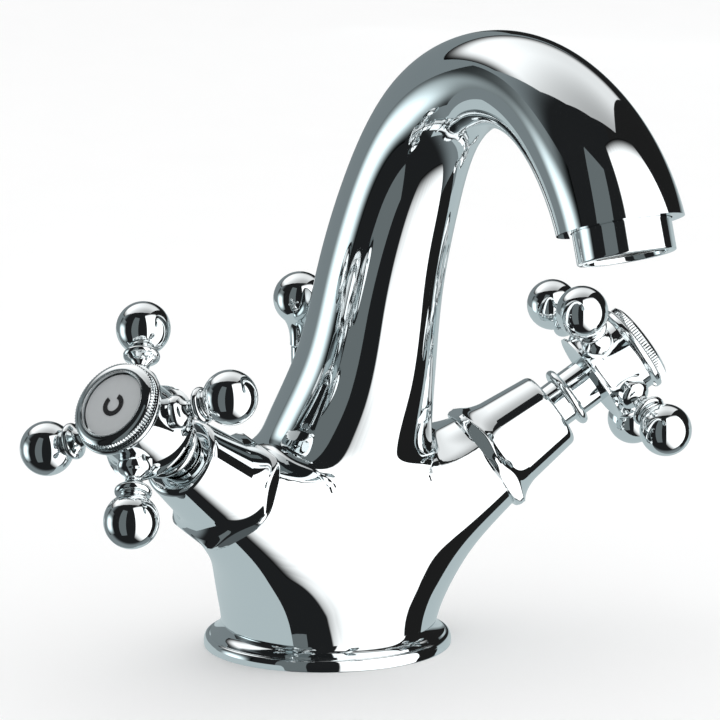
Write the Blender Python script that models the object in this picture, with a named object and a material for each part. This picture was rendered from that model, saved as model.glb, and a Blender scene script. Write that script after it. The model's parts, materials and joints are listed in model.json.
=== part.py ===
"""A bathroom basin mixer, rebuilt as separate pieces.

A cast body carries a swan-neck spout and two raised valve arms.  Each arm holds a quarter-turn
ceramic valve under a hexagon-footed bonnet, turned by a cross handle with four ball-ended spokes.
The spout ends in an aerator, and a pop-up waste rod with a ball knob slides in the back of the body.

Frame: +Z up, spout towards -Y, user's right +X, origin on the underside of the base flange.
Sizes are in millimetres and are scaled to metres as the meshes are made.
"""

import math

import bmesh
import bpy
import numpy as np
from mathutils import Matrix, Vector

MM = 0.001
GAP = 0.3  # clearance between separate pieces

# Base flange and neck of the cast body
FLANGE_RADIUS = 32.3
NECK_RADIUS = 27.4
NECK_HEIGHT = 8.0

# Spine of the body, column and spout: y, z, half width across X, half depth in the YZ plane
STATIONS = [
    (0.0, -6.0, 27.4, 27.4),
    (0.0, 9.0, 27.4, 27.4),
    (-1.2, 24.0, 28.6, 26.6),
    (-4.6, 39.0, 26.4, 22.0),
    (-9.7, 54.1, 23.6, 18.8),
    (-19.2, 75.9, 18.3, 17.4),
    (-26.0, 97.9, 16.1, 16.2),
    (-35.6, 120.4, 14.9, 14.8),
    (-50.6, 141.9, 12.9, 13.2),
    (-72.1, 152.8, 12.0, 11.7),
    (-95.9, 151.8, 12.5, 12.3),
    (-116.6, 139.9, 14.2, 13.8),
    (-128.3, 123.6, 14.8, 15.0),
    (-130.7, 116.0, 14.9, 15.1),
]
TIP_CENTRE = (0.0, -128.4, 124.3)
TIP_TILT = 17.2  # degrees that the outlet leans forward of straight down
FILLET_ABOVE = 7.0  # blend width where the arms leave the column, along their upper side
FILLET_BELOW = 19.0  # the same at their front, back and lower side
SKIN_CELL = 5.4  # edge length of the blended casting's facets

# Valve arms: one axis a side, seen as a root point and a direction
ARM_ROOT = (0.0, -2.12, 19.07)
ARM_RISE = 34.28
ARM_FORWARD = 19.42
ARM_END = 48.7
ARM_END_RADIUS = 13.7
ARM_TAPER = 0.17
SIDES = {"left": -1, "right": 1}

# Valve cavity in each arm and the water ways
CAVITY_RADIUS = 10.5
CAVITY_FLOOR = 24.0
INLET_SPOT = (8.5, -1.5)
INLET_RADIUS = 4.65  # M10 x 1 hose tail
INLET_DEPTH = 15.0
PORT_RADIUS = 3.6
CASTING_WALL = 4.0
CHANNEL_START = 57.0  # along the spine
CHANNEL_STOP = 14.5  # short of the spine's end
MIXING_STATION = 38.0  # where the mixing port leaves each arm's cavity
STUD_SPOT = (0.0, -11.5)
STUD_RADIUS = 3.4  # M8 fixing stud
STUD_DEPTH = 16.0
SEAL_GROOVE = (25.5, 29.0, 2.5)
RELIEF = (18.0, 23.5, 9.0)

# Valve, measured along the arm from its root
BARREL_RADIUS = CAVITY_RADIUS - GAP
BARREL_START = 27.4
DISC_RADIUS = 8.0
SPINDLE_RADIUS = 3.2
SPINDLE_TOP = 92.2
VALVE_NECK_RADIUS = 4.3
VALVE_NECK_TOP = 72.0
O_RING_HEIGHT = 62.0
CLIP_HEIGHT = 73.2

# Bonnet
BONNET_START = 49.0
BONNET_TOP = 72.0
BONNET_FLATS = 28.6
RIM_RADIUS = 16.1
BONNET_TURN = {"left": 50.0, "right": -18.0}

# Handle
SLEEVE_RADIUS = 6.05
COLLAR_HEIGHT = 76.8
COLLAR_RADIUS = 8.3
SKIRT_START = 84.6
SKIRT_RADIUS = 12.95
HUB_RADIUS = 10.8
HUB_TOP = 99.0
SPOKE_HEIGHT = 90.4
SPOKE_COUNT = 4
SPOKE_STUD = 2.0
BALL_RADIUS = 6.75
BALL_REACH = 26.7
HANDLE_CLOCK = {"left": 33.1, "right": 26.5}
BUTTON_RADIUS = 11.3
BUTTON_TEETH = 16
BUTTON_TOP = 101.8
INDEX_RADIUS = 8.2
INDEX_FACE = 100.8

# Pop-up waste rod
ROD_Y = 12.1
ROD_RADIUS = 2.5
ROD_BORE = 3.0
ROD_GUIDE_RADIUS = 4.7
ROD_GUIDE_TOP = 12.0
KNOB_RADIUS = 7.0
KNOB_CENTRE = 89.3
KNOB_FOOT = 76.9

# Aerator, measured outwards from the spout's rim
AERATOR_RADIUS = 11.5
AERATOR_BORE = 10.6
AERATOR_DROP = 7.5
AERATOR_SOCKET = 8.4

COLOURS = {
    "chrome": ((0.80, 0.82, 0.83, 1), 1.0, 0.05),
    "brass": ((0.72, 0.55, 0.24, 1), 1.0, 0.3),
    "ceramic": ((0.90, 0.89, 0.86, 1), 0.0, 0.25),
    "rubber": ((0.03, 0.03, 0.03, 1), 0.0, 0.6),
    "steel": ((0.62, 0.62, 0.62, 1), 1.0, 0.3),
    "white_plastic": ((0.85, 0.85, 0.83, 1), 0.0, 0.4),
    "grey_enamel": ((0.60, 0.62, 0.63, 1), 0.0, 0.35),
    "black_enamel": ((0.02, 0.02, 0.02, 1), 0.0, 0.35),
}


def clear_scene():
    for item in list(bpy.data.objects):
        bpy.data.objects.remove(item)


def material(name, finish):
    colour, metallic, roughness = COLOURS[finish]
    made = bpy.data.materials.new(name)
    made.use_nodes = True
    shader = made.node_tree.nodes["Principled BSDF"]
    shader.inputs["Base Color"].default_value = colour
    shader.inputs["Metallic"].default_value = metallic
    shader.inputs["Roughness"].default_value = roughness
    return made


def add_object(name, bm, matrix, finish, parent=None):
    """Turns a bmesh in millimetres into a placed, shaded object in metres."""
    bmesh.ops.recalc_face_normals(bm, faces=bm.faces)
    bmesh.ops.scale(bm, vec=(MM, MM, MM), verts=bm.verts)
    mesh = bpy.data.meshes.new(name)
    bm.to_mesh(mesh)
    bm.free()
    mesh.shade_smooth()
    mesh.set_sharp_from_angle(angle=math.radians(35))
    placed = bpy.data.objects.new(name, mesh)
    bpy.context.scene.collection.objects.link(placed)
    if finish:
        mesh.materials.append(material(name, finish))
    if parent:
        placed.parent = parent
    placed.matrix_local = metres(matrix)
    return placed


def metres(matrix):
    scaled = matrix.copy()
    scaled.translation = matrix.translation * MM
    return scaled


def cutter(bm, matrix=Matrix.Identity(4), parent=None):
    made = add_object("cutter", bm, matrix, None, parent)
    made.hide_render = True
    made.display_type = "WIRE"
    return made


def combine(target, tool, operation):
    """Applies one exact Boolean and removes its tool."""
    bpy.context.view_layer.update()
    modifier = target.modifiers.new(operation, "BOOLEAN")
    modifier.operation = operation
    modifier.solver = "EXACT"
    modifier.object = tool
    depsgraph = bpy.context.evaluated_depsgraph_get()
    result = bpy.data.meshes.new_from_object(target.evaluated_get(depsgraph))
    target.modifiers.clear()
    target.data = result
    result.shade_smooth()
    result.set_sharp_from_angle(angle=math.radians(35))
    bpy.data.objects.remove(tool)


def bezier(start, control, end, steps):
    """Points after start, up to and with end, of a quadratic curve."""
    points = []
    for i in range(1, steps + 1):
        t = i / steps
        weights = ((1 - t) ** 2, 2 * t * (1 - t), t * t)
        point = [sum(w * p[k] for w, p in zip(weights, (start, control, end))) for k in (0, 1)]
        points.append(tuple(point))
    return points


def arc(centre, radius, start, end, steps):
    """Points of a circular arc, with angles in degrees from the outward radius."""
    angles = np.radians(np.linspace(start, end, steps + 1))
    return [(centre[0] + radius * math.cos(a), centre[1] + radius * math.sin(a)) for a in angles]


def lathe(outline, steps):
    """Spins an outline of (radius, height) points about the Z axis.

    An outline that starts and ends on the axis is left open there; any other is a closed ring."""
    bm = bmesh.new()
    corners = [bm.verts.new((r, 0, h)) for r, h in outline]
    edges = [bm.edges.new(pair) for pair in zip(corners, corners[1:])]
    if outline[0][0] > 0 or outline[-1][0] > 0:
        edges.append(bm.edges.new((corners[-1], corners[0])))
    bmesh.ops.spin(bm, geom=corners + edges, cent=(0, 0, 0), axis=(0, 0, 1), angle=math.tau,
                   steps=steps, use_merge=True)
    bmesh.ops.remove_doubles(bm, verts=bm.verts, dist=1e-4)
    return bm


def cylinder(radius, low, high, steps):
    return lathe([(0, low), (radius, low), (radius, high), (0, high)], steps)


def counterbore(hole, floor, face, height, steps):
    """Cutter that trims everything past height out to radius face, and bores a hole down to floor."""
    top = height + 16
    return lathe([(0, floor), (hole, floor), (hole, height), (face, height), (face, top), (0, top)], steps)


def prism(outline, low, high):
    """Extrudes a closed outline of (x, y) points along Z."""
    bm = bmesh.new()
    face = bm.faces.new([bm.verts.new((x, y, low)) for x, y in outline])
    lifted = bmesh.ops.extrude_face_region(bm, geom=[face])["geom"]
    rising = [item for item in lifted if isinstance(item, bmesh.types.BMVert)]
    bmesh.ops.translate(bm, vec=(0, 0, high - low), verts=rising)
    return bm


def ring_points(radius, count, start=0.0):
    angles = [math.radians(start) + math.tau * i / count for i in range(count)]
    return [(radius * math.cos(a), radius * math.sin(a)) for a in angles]


def sector(inner, outer, start, end, steps):
    """Closed outline of a piece of a flat ring, angles in degrees."""
    outside = arc((0, 0), outer, start, end, steps)
    inside = arc((0, 0), inner, end, start, steps)
    return outside + inside


def box_outline(width, depth):
    x, y = width / 2, depth / 2
    return [(-x, -y), (x, -y), (x, y), (-x, y)]


# --- the blended casting -------------------------------------------------------------------


class Spline:
    """Cubic spline through knots, whose bending stays constant over its first and last stretch."""

    def __init__(self, knots, values):
        self.knots = np.asarray(knots, float)
        self.values = np.asarray(values, float)
        gaps = np.diff(self.knots)
        slopes = np.diff(self.values, axis=0) / gaps[:, None]
        count = len(self.knots)
        system = np.zeros((count, count))
        right = np.zeros_like(self.values)
        for i in range(1, count - 1):
            system[i, i - 1:i + 2] = gaps[i - 1], 2 * (gaps[i - 1] + gaps[i]), gaps[i]
            right[i] = 6 * (slopes[i] - slopes[i - 1])
        system[0, :2] = 1, -1
        system[-1, -2:] = 1, -1
        self.bends = np.linalg.solve(system, right)

    def __call__(self, t):
        t = np.asarray(t, float)
        i = np.clip(np.searchsorted(self.knots, t, side="right") - 1, 0, len(self.knots) - 2)
        gap = (self.knots[i + 1] - self.knots[i])[..., None]
        after = t[..., None] - self.knots[i][..., None]
        before = self.knots[i + 1][..., None] - t[..., None]
        cubic = (self.bends[i] * before**3 + self.bends[i + 1] * after**3) / (6 * gap)
        first = (self.values[i] / gap - self.bends[i] * gap / 6) * before
        second = (self.values[i + 1] / gap - self.bends[i + 1] * gap / 6) * after
        return cubic + first + second


def station_spline():
    stations = np.array(STATIONS)
    lengths = np.linalg.norm(np.diff(stations[:, :2], axis=0), axis=1)
    return Spline(np.concatenate([[0], np.cumsum(lengths)]), stations)


SPINE = station_spline()
SPINE_END = SPINE.knots[-1]


def spine_frame(t):
    """Centre, in-plane normal and half axes of the section at spine length t."""
    y, z, width, depth = SPINE(t)
    ahead = SPINE(t + 0.5)[:2] - SPINE(t - 0.5)[:2]
    ahead = ahead / np.linalg.norm(ahead)
    return (y, z), (ahead[1], -ahead[0]), width, depth


def swept(lengths, sections, steps):
    """Loft of ellipses in planes square to the spine; sections gives half width and half depth."""
    bm = bmesh.new()
    rings = []
    for t, (width, depth) in zip(lengths, sections):
        (y, z), (ny, nz), _, _ = spine_frame(t)
        ring = []
        for u, v in ring_points(1, steps):
            ring.append(bm.verts.new((width * u, y + depth * v * ny, z + depth * v * nz)))
        rings.append(ring)
    for low, high in zip(rings, rings[1:]):
        for i in range(steps):
            j = (i + 1) % steps
            bm.faces.new((low[i], low[j], high[j], high[i]))
    bm.faces.new(rings[0])
    bm.faces.new(rings[-1])
    return bm


def arm_matrix(side):
    """Frame of one valve arm: Z along the arm, X towards the user, origin at the arm's root."""
    rise, forward = math.radians(ARM_RISE), math.radians(ARM_FORWARD)
    along = Vector((
        SIDES[side] * math.cos(rise) * math.cos(forward),
        -math.cos(rise) * math.sin(forward),
        math.sin(rise),
    ))
    front = Vector((0, -1, 0))
    front = (front - along * front.dot(along)).normalized()
    across = along.cross(front)
    matrix = Matrix((front, across, along)).transposed().to_4x4()
    matrix.translation = ARM_ROOT
    return matrix


def arm_radius(s):
    return ARM_END_RADIUS + ARM_TAPER * (ARM_END - s)


def smooth_min(first, second, width):
    overlap = np.maximum(width - np.abs(first - second), 0) / width
    return np.minimum(first, second) - overlap**3 * width / 6


def casting_field(points):
    """Roughly the distance of points outside the blended casting, in millimetres."""
    samples = np.linspace(0, SPINE_END, 600)
    table = SPINE(samples)
    ahead = np.gradient(table[:, :2], axis=0)
    ahead /= np.linalg.norm(ahead, axis=1)[:, None]
    offsets = points[:, None, 1:] - table[None, :, :2]
    nearest = np.argmin((offsets**2).sum(2), axis=1)
    rows = np.arange(len(points))
    along = (offsets[rows, nearest] * ahead[nearest]).sum(1)
    step = samples[1] - samples[0]
    t = np.clip(samples[nearest] + np.clip(along, -step, step), 0, SPINE_END)
    y, z, width, depth = SPINE(t).T
    reach = np.hypot(points[:, 1] - y, points[:, 2] - z)
    ratio = np.hypot(points[:, 0] / width, reach / depth)
    radial = np.hypot(points[:, 0], reach)
    field = radial * (1 - 1 / np.maximum(ratio, 1e-6))
    for side in SIDES:
        frame = np.array(arm_matrix(side))
        local = (points - frame[:3, 3]) @ frame[:3, :3]
        distance = np.hypot(local[:, 0], local[:, 1]) - arm_radius(local[:, 2])
        above = np.clip(local[:, 1] * np.sign(frame[2, 1]) / ARM_END_RADIUS, 0, 1)
        fillet = FILLET_BELOW + (FILLET_ABOVE - FILLET_BELOW) * above**2 * (3 - 2 * above)
        field = smooth_min(field, np.where(local[:, 2] > 0, distance, 1e3), fillet)
    return field


def settle(points, rounds=6):
    """Moves points onto the casting's surface along the field's slope."""
    for _ in range(rounds):
        value = casting_field(points)
        slope = np.empty_like(points)
        for axis in range(3):
            shift = np.zeros(3)
            shift[axis] = 0.05
            slope[:, axis] = (casting_field(points + shift) - casting_field(points - shift)) / 0.1
        size = np.maximum((slope**2).sum(1), 0.2)
        points = points - slope * np.clip(value / size, -1.5, 1.5)[:, None]
    return points


def casting():
    """One closed skin around the column, the spout and both arms, with soft joins."""
    lengths = np.linspace(0, SPINE_END, 60)
    sections = [SPINE(t)[2:] for t in lengths]
    bm = swept(lengths, sections, 40)
    for side in SIDES:
        top = ARM_END + 5
        arm = lathe([(0, 6), (arm_radius(6), 6), (arm_radius(top), top), (0, top)], 36)
        bmesh.ops.transform(arm, matrix=arm_matrix(side), verts=arm.verts)
        shape = bpy.data.meshes.new("arm")
        arm.to_mesh(shape)
        arm.free()
        bm.from_mesh(shape)
    body = add_object("body", bm, Matrix.Identity(4), "chrome")
    remesh = body.modifiers.new("skin", "REMESH")
    remesh.mode = "VOXEL"
    remesh.voxel_size = SKIN_CELL * MM
    depsgraph = bpy.context.evaluated_depsgraph_get()
    skin = bpy.data.meshes.new_from_object(body.evaluated_get(depsgraph))
    body.modifiers.clear()
    body.data = skin
    places = np.empty(len(skin.vertices) * 3)
    skin.vertices.foreach_get("co", places)
    places = settle(places.reshape(-1, 3) / MM) * MM
    skin.vertices.foreach_set("co", places.ravel())
    skin.update()
    return body


def tip_matrix():
    """Frame of the outlet: Z out of the spout, origin at the centre of its rim."""
    matrix = Matrix.Rotation(math.radians(180 - TIP_TILT), 4, "X")
    matrix.translation = TIP_CENTRE
    return matrix


def vertical(x, y):
    return Matrix.Translation((x, y, 0))


def between(start, end):
    """Frame with Z from start to end, and the distance."""
    line = Vector(end) - Vector(start)
    matrix = line.to_track_quat("Z", "Y").to_matrix().to_4x4()
    matrix.translation = start
    return matrix, line.length


def along_arm(side, s):
    return arm_matrix(side) @ Vector((0, 0, s))


def flange_outline():
    foot = [(0, 0), (FLANGE_RADIUS - 0.5, 0), (FLANGE_RADIUS, 0.5), (FLANGE_RADIUS, 1.3)]
    shoulder = bezier(foot[-1], (FLANGE_RADIUS - 0.2, 3.0), (31.0, 3.2), 2)
    cove = bezier(shoulder[-1], (NECK_RADIUS + 0.3, 4.2), (NECK_RADIUS + 0.1, NECK_HEIGHT), 3)
    return foot + shoulder + cove + [(NECK_RADIUS - 0.8, NECK_HEIGHT + 1.2), (0, NECK_HEIGHT + 1.2)]


def water_way_sections(lengths):
    """Half axes of the cored channel: the casting less its wall, narrower at both ends."""
    sections = []
    for t in lengths:
        _, _, width, depth = SPINE(t)
        opening = 1 - 0.5 * math.exp(-(t - lengths[0]) / 7) - 0.22 * math.exp(-(lengths[-1] - t) / 9)
        sections.append(((width - CASTING_WALL) * opening, (depth - CASTING_WALL) * opening))
    return sections


def make_body():
    body = casting()
    combine(body, cutter(prism(box_outline(90, 90), -12, 1.0)), "DIFFERENCE")
    combine(body, cutter(lathe(flange_outline(), 40)), "UNION")
    tip = tip_matrix()
    combine(body, cutter(counterbore(AERATOR_RADIUS + GAP, -AERATOR_SOCKET, 22, 0, 32), tip), "DIFFERENCE")
    lengths = np.linspace(CHANNEL_START, SPINE_END - CHANNEL_STOP, 13)
    combine(body, cutter(swept(lengths, water_way_sections(lengths), 12)), "DIFFERENCE")
    y, z, _, _ = SPINE(CHANNEL_START + 6)
    for side, sign in SIDES.items():
        frame = arm_matrix(side)
        cavity = counterbore(CAVITY_RADIUS, CAVITY_FLOOR, 18, ARM_END, 20)
        combine(body, cutter(cavity, frame), "DIFFERENCE")
        inlet = (sign * INLET_SPOT[0], INLET_SPOT[1])
        combine(body, cutter(cylinder(INLET_RADIUS, -2, INLET_DEPTH, 20), vertical(*inlet)), "DIFFERENCE")
        rising, length = between((inlet[0], inlet[1], INLET_DEPTH - 2), along_arm(side, CAVITY_FLOOR + 1))
        combine(body, cutter(cylinder(PORT_RADIUS, 0, length, 12), rising), "DIFFERENCE")
        mixing, length = between(along_arm(side, MIXING_STATION), (sign * 4.0, y, z))
        combine(body, cutter(cylinder(PORT_RADIUS, 0, length, 12), mixing), "DIFFERENCE")
    stud = cylinder(STUD_RADIUS, -2, STUD_DEPTH, 18)
    combine(body, cutter(stud, vertical(*STUD_SPOT)), "DIFFERENCE")
    combine(body, cutter(cylinder(ROD_BORE, -2, 90, 18), vertical(0, ROD_Y)), "DIFFERENCE")
    pocket = cylinder(ROD_GUIDE_RADIUS + GAP, -2, ROD_GUIDE_TOP + 4.0, 20)
    combine(body, cutter(pocket, vertical(0, ROD_Y)), "DIFFERENCE")
    inner, outer, depth = SEAL_GROOVE
    hollow_inner, hollow_outer, hollow_depth = RELIEF
    rings = [
        (hollow_inner, -2), (outer, -2), (outer, depth), (inner, depth), (inner, -1),
        (hollow_outer, -1), (hollow_outer, hollow_depth), (hollow_inner, hollow_depth),
    ]
    combine(body, cutter(lathe(rings, 32)), "DIFFERENCE")
    inner, outer, top = inner + GAP, outer - GAP, depth - GAP
    seal = lathe([(inner, 0), (outer, 0), (outer, top), (inner, top)], 32)
    add_object("base_seal", seal, Matrix.Identity(4), "rubber")


# --- spout outlet ----------------------------------------------------------------------------


def make_aerator():
    tip = tip_matrix()
    lip = AERATOR_DROP
    housing = [
        (AERATOR_BORE, -6.0), (AERATOR_RADIUS, -6.0), (AERATOR_RADIUS, lip - 0.6),
        (AERATOR_RADIUS - 0.4, lip), (9.6, lip), (9.6, lip - 1.1), (AERATOR_BORE, lip - 1.1),
    ]
    add_object("aerator_housing", lathe(housing, 20), tip, "chrome")
    insert_radius = AERATOR_BORE - GAP
    insert = add_object("aerator_insert", cylinder(insert_radius, -5.6, 4.0, 16), tip, "white_plastic")
    for x, y in ring_points(6.6, 6):
        hole = cutter(cylinder(2.3, -7, 6, 8), tip @ Matrix.Translation((x, y, 0)))
        combine(insert, hole, "DIFFERENCE")
    add_object("aerator_screen", cylinder(insert_radius, 4.4, 5.2, 16), tip, "steel")
    washer = lathe([(8.6, -8.0), (AERATOR_RADIUS, -8.0), (AERATOR_RADIUS, -6.4), (8.6, -6.4)], 20)
    add_object("aerator_washer", washer, tip, "rubber")


# --- valves and bonnets ----------------------------------------------------------------------


def make_valve(side, moving):
    """Fixed and turning pieces of one ceramic valve; moving is the handle's axis empty."""
    frame = arm_matrix(side)
    still = Matrix.Identity(4)
    seal = lathe([(5.2, 24.3), (DISC_RADIUS, 24.3), (DISC_RADIUS, 27.7), (5.2, 27.7)], 16)
    add_object(f"{side}_seat_seal", seal, frame, "rubber")

    pocket = DISC_RADIUS + GAP
    bore = SPINDLE_RADIUS + 0.4
    outline = [
        (pocket, BARREL_START), (BARREL_RADIUS, BARREL_START), (BARREL_RADIUS, 48.2), (8.0, 48.2),
        (8.0, 56.0), (VALVE_NECK_RADIUS, 57.5), (VALVE_NECK_RADIUS, VALVE_NECK_TOP),
        (bore, VALVE_NECK_TOP), (bore, 39.2), (pocket, 39.2),
    ]
    valve = add_object(f"{side}_valve_body", lathe(outline, 14), frame, "brass")
    nut = lathe([(7.0, 49.2), (9.8, 49.2), (9.8, 53.4), (7.0, 53.4)], 6)
    combine(valve, cutter(nut, frame), "UNION")
    combine(valve, cutter(prism(box_outline(30, 8), 34.8, 38.6), frame), "DIFFERENCE")

    for name, low, high, turn in (("fixed_disc", 28.0, 31.0, 0), ("moving_disc", 31.3, 34.3, 90)):
        parent = moving if name == "moving_disc" else None
        place = still if parent else frame
        disc = add_object(f"{side}_{name}", cylinder(DISC_RADIUS, low, high, 16), place, "ceramic", parent)
        for start in (turn - 35, turn + 145):
            port = prism(sector(3.0, 6.6, start, start + 70, 5), low - 1, high + 1)
            combine(disc, cutter(port, place, parent), "DIFFERENCE")

    groove = (O_RING_HEIGHT - 0.9, O_RING_HEIGHT + 0.9)
    outline = [
        (0, 36.5), (SPINDLE_RADIUS, 36.5), (SPINDLE_RADIUS, groove[0]), (2.0, groove[0]),
        (2.0, groove[1]), (SPINDLE_RADIUS, groove[1]), (SPINDLE_RADIUS, 72.6), (2.3, 72.6),
        (2.3, 73.9), (SPINDLE_RADIUS, 73.9), (SPINDLE_RADIUS, SPINDLE_TOP), (2.2, SPINDLE_TOP),
        (2.2, 81.0), (0, 81.0),
    ]
    spindle = add_object(f"{side}_spindle", lathe(outline, 10), still, "brass", moving)
    combine(spindle, cutter(prism(box_outline(5, 15.2), 34.6, 38.4), still, moving), "UNION")
    o_ring = lathe(arc((2.8, O_RING_HEIGHT), 0.5, 0, 300, 5), 12)
    add_object(f"{side}_spindle_o_ring", o_ring, still, "rubber", moving)
    clip = prism(sector(2.6, 4.0, 30, 330, 9), CLIP_HEIGHT - 0.3, CLIP_HEIGHT + 0.3)
    add_object(f"{side}_retaining_clip", clip, still, "steel", moving)

    start = (RIM_RADIUS - 0.2, BONNET_START + 2.3)
    rim = [(RIM_RADIUS - 1.0, BONNET_START), (RIM_RADIUS, BONNET_START + 1.2), start]
    flare = bezier(start, (13.2, 52.6), (12.1, 56.7), 4)
    shoulder = bezier((10.3, 70.4), (10.2, BONNET_TOP), (8.8, BONNET_TOP), 3)
    hole = SLEEVE_RADIUS + GAP
    outline = rim + flare + [(10.3, 70.4)] + shoulder + [
        (hole, BONNET_TOP), (hole, 70.2), (8.8, 70.2), (8.8, 55.5), (10.8, 54.0),
        (10.8, BONNET_START),
    ]
    bonnet = add_object(f"{side}_bonnet", lathe(outline, 24), frame, "chrome")
    hexagon = prism(ring_points(BONNET_FLATS / math.sqrt(3), 6, BONNET_TURN[side]), 40, 80)
    combine(bonnet, cutter(hexagon, frame), "INTERSECT")


# --- cross handles ---------------------------------------------------------------------------


def spoke_outline():
    """One spoke along its own axis, measured from the hub's axis: stud, bell, waist, ring, ball."""
    stud = [(0, 7.0), (SPOKE_STUD, 7.0), (SPOKE_STUD, 11.5), (3.7, 11.5)]
    bell = bezier(stud[-1], (4.9, 12.6), (3.2, 13.5), 2)
    waist = [(2.1, 14.9), (2.9, 17.3)]
    ring = [(4.3, 18.2), (4.5, 18.9), (3.1, 20.1)]
    begin = -math.degrees(math.acos(3.3 / BALL_RADIUS))
    ball = arc((0, BALL_REACH), BALL_RADIUS, begin, 90, 5)
    ball[-1] = (0, BALL_REACH + BALL_RADIUS)
    return stud + bell + waist + ring + ball


def knurled(bm, radius, depth):
    """Draws in every second vertex of the rings at radius, for straight knurling."""
    rim = [v for v in bm.verts if abs(math.hypot(v.co.x, v.co.y) - radius) < 0.01]
    for v in rim:
        turn = math.atan2(v.co.y, v.co.x) / math.tau * 2 * BUTTON_TEETH
        if round(turn) % 2:
            v.co.xy = v.co.xy * ((radius - depth) / radius)
    return bm


def make_handle(side, moving):
    turn = Matrix.Rotation(math.radians(HANDLE_CLOCK[side]), 4, "Z")
    bore = VALVE_NECK_RADIUS + GAP
    collar = arc((COLLAR_RADIUS - 1.1, COLLAR_HEIGHT), 1.1, -90, 90, 4)
    sleeve = [(bore, 66.0), (SLEEVE_RADIUS, 66.0), (SLEEVE_RADIUS, COLLAR_HEIGHT - 1.5)] + collar + [
        (SLEEVE_RADIUS + 0.25, COLLAR_HEIGHT + 1.5), (SLEEVE_RADIUS + 0.25, 86.6), (bore, 86.6),
    ]
    add_object(f"{side}_stem_sleeve", lathe(sleeve, 14), turn, "chrome", moving)

    flare = bezier((SKIRT_RADIUS, SKIRT_START + 0.7), (HUB_RADIUS, 86.2), (HUB_RADIUS, 88.8), 4)
    bead = [(HUB_RADIUS, 97.2), (11.6, 97.6), (11.95, 98.3), (11.6, HUB_TOP)]
    bore = SPINDLE_RADIUS + GAP
    outline = [(SKIRT_RADIUS, SKIRT_START), (SKIRT_RADIUS, SKIRT_START + 0.7)] + flare + bead + [
        (8.9, HUB_TOP), (8.9, 94.0), (bore, 94.0), (bore, 87.0), (8.0, 87.0), (12.2, SKIRT_START),
    ]
    hub = add_object(f"{side}_hub", lathe(outline, 20), turn, "chrome", moving)
    spoke_shape = None
    for k in range(SPOKE_COUNT):
        place = turn @ Matrix.Rotation(math.tau * k / SPOKE_COUNT, 4, "Z")
        place = place @ Matrix.Translation((0, 0, SPOKE_HEIGHT)) @ Matrix.Rotation(math.radians(90), 4, "Y")
        hole = cylinder(SPOKE_STUD + GAP, 6.6, 13, 12)
        combine(hub, cutter(hole, place, moving), "DIFFERENCE")
        spoke = add_object(f"{side}_spoke_{k + 1}", lathe(spoke_outline(), 10), place, "chrome", moving)
        if spoke_shape:
            spoke.data = spoke_shape
        spoke_shape = spoke.data

    screw = lathe([(0, 83.0), (1.9, 83.0), (1.9, 94.3), (4.2, 94.3), (4.2, 97.0), (0, 97.0)], 16)
    screw = add_object(f"{side}_handle_screw", screw, turn, "steel", moving)
    combine(screw, cutter(prism(ring_points(1.9, 6), 95.2, 98), turn, moving), "DIFFERENCE")

    top = BUTTON_TOP
    button = [
        (0, 97.6), (8.6, 97.6), (8.6, 99.3), (BUTTON_RADIUS, 99.3), (BUTTON_RADIUS, 101.0),
        (10.2, top), (INDEX_RADIUS + GAP + 0.4, top), (INDEX_RADIUS + GAP, 101.2),
        (INDEX_RADIUS + GAP, 100.0), (0, 100.0),
    ]
    button = knurled(lathe(button, 2 * BUTTON_TEETH), BUTTON_RADIUS, 0.35)
    add_object(f"{side}_index_button", button, turn, "chrome", moving)
    disc = cylinder(INDEX_RADIUS, INDEX_FACE - 0.5, INDEX_FACE, 20)
    add_object(f"{side}_index_disc", disc, turn, "grey_enamel", moving)
    letter = LETTERS[side]()
    lettering = Matrix.Translation((0, 0, INDEX_FACE + GAP))
    add_object(f"{side}_index_mark", prism(letter, 0, 0.25), turn @ lettering, "black_enamel", moving)


def letter_c():
    """A C that opens towards the second spoke."""
    return sector(1.8, 2.9, 123, 417, 12)


def letter_f():
    stem, height, arm, bar = 0.85, 5.4, 3.4, 0.9
    x, y = -arm / 2, -height / 2
    middle = y + height * 0.46
    return [
        (x, y), (x + stem, y), (x + stem, middle), (x + arm * 0.85, middle),
        (x + arm * 0.85, middle + bar), (x + stem, middle + bar), (x + stem, y + height - bar),
        (x + arm, y + height - bar), (x + arm, y + height), (x, y + height),
    ]


LETTERS = {"left": letter_c, "right": letter_f}


# --- pop-up waste rod ------------------------------------------------------------------------


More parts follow.
